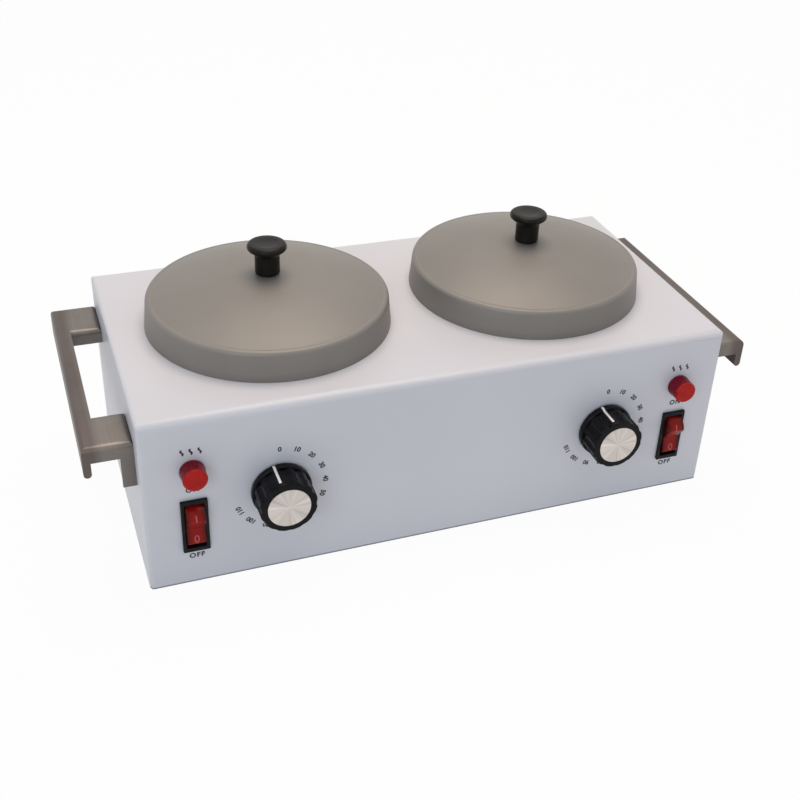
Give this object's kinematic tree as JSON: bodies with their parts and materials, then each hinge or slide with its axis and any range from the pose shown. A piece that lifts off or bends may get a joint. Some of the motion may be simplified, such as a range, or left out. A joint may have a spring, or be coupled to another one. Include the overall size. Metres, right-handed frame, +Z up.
{
  "type": "double wax warmer",
  "caption": "Rectangular painted-steel benchtop wax heater with lidded lift-out pots, dial thermostats, rocker switches, pilot lamps and bent-steel side grips.",
  "frame": {"origin": "centre of the outline at table level, under the middle of the housing", "axes": "+X to the right seen from the front, along the length; +Y to the back; +Z up"},
  "size_m": [0.3576, 0.1892, 0.1453],
  "materials": {
    "white_enamel": "satin powder coat",
    "zinc_sheet": "galvanised",
    "rubber": "matt",
    "zinc_hardware": "zinc plated",
    "brass_hardware": "turned",
    "well_aluminium": "spun",
    "pot_aluminium": "spun",
    "lid_aluminium": "satin, spun",
    "lid_knob_black": "moulded phenolic",
    "dial_black": "gloss",
    "dial_cap_aluminium": "spun",
    "heater_band_steel": "heat tinted",
    "thermostat_steel": "pressed steel over moulded base",
    "capillary_copper": "drawn copper",
    "switch_black": "moulded",
    "rocker_red": "translucent moulding",
    "lens_red": "translucent moulding",
    "lamp_grey": "moulded",
    "neon_glass": "clear glass",
    "bracket_steel": "rolled, unpainted",
    "gland_nylon": "moulded",
    "block_nylon": "moulded",
    "wire_sleeve": "glass sleeve"
  },
  "bodies": {
    "chassis": {"housing": "white_enamel", "base_plate": "zinc_sheet", "rubber_feet": "rubber", "base_screws": "zinc_hardware", "base_nuts": "zinc_hardware", "left_well": "well_aluminium", "right_well": "well_aluminium", "left_heater_band": "heater_band_steel", "right_heater_band": "heater_band_steel", "band_screws": "zinc_hardware", "well_posts": "zinc_hardware", "post_screws": "zinc_hardware", "thermal_cutouts": "switch_black", "left_thermostat": "thermostat_steel", "right_thermostat": "thermostat_steel", "thermostat_nuts": "brass_hardware", "left_sensor": "capillary_copper", "right_sensor": "capillary_copper", "left_switch_body": "switch_black", "right_switch_body": "switch_black", "left_lamp_lens": "lens_red", "right_lamp_lens": "lens_red", "left_lamp_body": "lamp_grey", "right_lamp_body": "lamp_grey", "left_neon_lamp": "neon_glass", "right_neon_lamp": "neon_glass", "lamp_nuts": "zinc_hardware", "left_bracket": "bracket_steel", "right_bracket": "bracket_steel", "bracket_screws": "zinc_hardware", "bracket_nuts": "zinc_hardware", "cable_gland": "gland_nylon", "gland_nut": "gland_nylon", "terminal_block": "block_nylon", "block_screws": "zinc_hardware", "wiring": "wire_sleeve", "earth_screw": "brass_hardware"},
    "left_pot": {"left_pot": "pot_aluminium"},
    "left_lid": {"left_lid": "lid_aluminium", "left_lid_knob": "lid_knob_black", "left_lid_screw": "zinc_hardware"},
    "left_dial": {"left_dial_knob": "dial_black", "left_dial_cap": "dial_cap_aluminium", "left_thermostat_shaft": "zinc_hardware"},
    "left_rocker": {"left_rocker": "rocker_red"},
    "right_pot": {"right_pot": "pot_aluminium"},
    "right_lid": {"right_lid": "lid_aluminium", "right_lid_knob": "lid_knob_black", "right_lid_screw": "zinc_hardware"},
    "right_dial": {"right_dial_knob": "dial_black", "right_dial_cap": "dial_cap_aluminium", "right_thermostat_shaft": "zinc_hardware"},
    "right_rocker": {"right_rocker": "rocker_red"}
  },
  "joints": [
    {"name": "left_pot_lift", "type": "slide", "parent": "chassis", "child": "left_pot", "axis": [0, 0, 1], "range_m": [0, 0.1]},
    {"name": "left_lid_lift", "type": "slide", "parent": "left_pot", "child": "left_lid", "axis": [0, 0, 1], "range_m": [0, 0.05]},
    {"name": "left_dial_turn", "type": "hinge", "parent": "chassis", "child": "left_dial", "pos_m": [-0.0886, -0.0955, 0.0534], "axis": [0, 1, 0], "range_deg": [0, 258]},
    {"name": "left_switch_rock", "type": "hinge", "parent": "chassis", "child": "left_rocker", "pos_m": [-0.1312, -0.0755, 0.0406], "axis": [-1, 0, 0], "range_deg": [0, 22]},
    {"name": "right_pot_lift", "type": "slide", "parent": "chassis", "child": "right_pot", "axis": [0, 0, 1], "range_m": [0, 0.1]},
    {"name": "right_lid_lift", "type": "slide", "parent": "right_pot", "child": "right_lid", "axis": [0, 0, 1], "range_m": [0, 0.05]},
    {"name": "right_dial_turn", "type": "hinge", "parent": "chassis", "child": "right_dial", "pos_m": [0.0886, -0.0955, 0.0534], "axis": [0, 1, 0], "range_deg": [0, 258]},
    {"name": "right_switch_rock", "type": "hinge", "parent": "chassis", "child": "right_rocker", "pos_m": [0.1312, -0.0755, 0.0406], "axis": [-1, 0, 0], "range_deg": [0, 22]}
  ]
}
